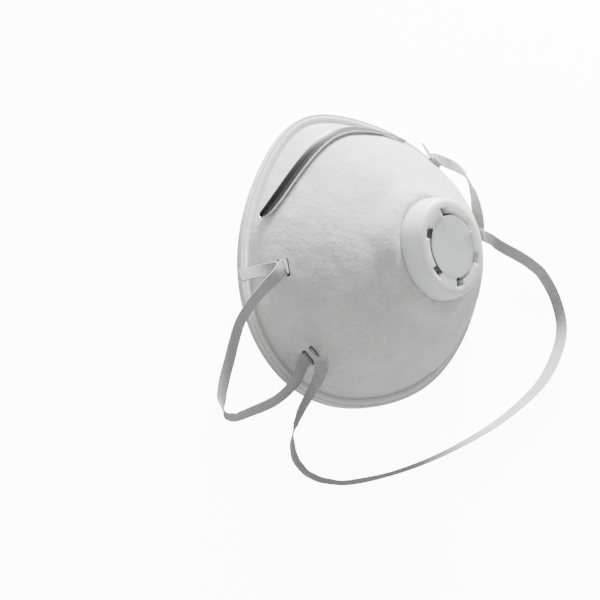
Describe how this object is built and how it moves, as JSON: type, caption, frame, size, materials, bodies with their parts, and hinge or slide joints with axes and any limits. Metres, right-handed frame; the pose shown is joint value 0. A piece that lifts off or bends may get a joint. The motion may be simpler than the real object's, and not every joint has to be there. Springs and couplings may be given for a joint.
{
  "type": "disposable dust mask",
  "caption": "Moulded cup-shaped disposable dust mask with a nose clip, an exhalation valve and a threaded elastic strap.",
  "frame": {"origin": "middle of the cup's length and width, on the plane that the rim rests on; the strap isn't counted", "axes": "+Z out through the valve side of the cup, +Y towards the nose, X from cheek to cheek"},
  "size_m": [0.2059, 0.1643, 0.0483],
  "materials": {
    "cover_web": "white needle-felt nonwoven, matt, fine mottled fibres",
    "filter_media": "white melt-blown filter web, matt",
    "support_shell": "stiff moulded polyester felt, matt",
    "inner_lining": "soft white nonwoven, matt, softly creased",
    "nose_clip": "bare rolled aluminium with fine lengthwise scratches",
    "adhesive": "thin film of pale hot-melt glue",
    "nose_foam": "black open-cell polyurethane foam",
    "valve_plastic": "white moulded polypropylene, satin",
    "diaphragm_rubber": "thin greenish-grey rubber, satin",
    "elastic": "flat knitted grey elastic with fine lengthwise ribs"
  },
  "bodies": {
    "mask": {"cover_web": "cover_web", "filter_media": "filter_media", "support_shell": "support_shell", "inner_lining": "inner_lining", "nose_clip": "nose_clip", "nose_clip_adhesive": "adhesive", "nose_foam": "nose_foam", "nose_foam_adhesive": "adhesive", "valve_seat": "valve_plastic", "valve_cover": "valve_plastic", "elastic_strap": "elastic"},
    "diaphragm": {"valve_diaphragm": "diaphragm_rubber"}
  },
  "joints": [
    {"name": "diaphragm_lift", "type": "slide", "parent": "mask", "child": "diaphragm", "axis": [0, -0.1048, 0.9945], "range_m": [0, 0.0015], "stiffness_N_per_m": 30, "springref_m": -0.0002}
  ]
}
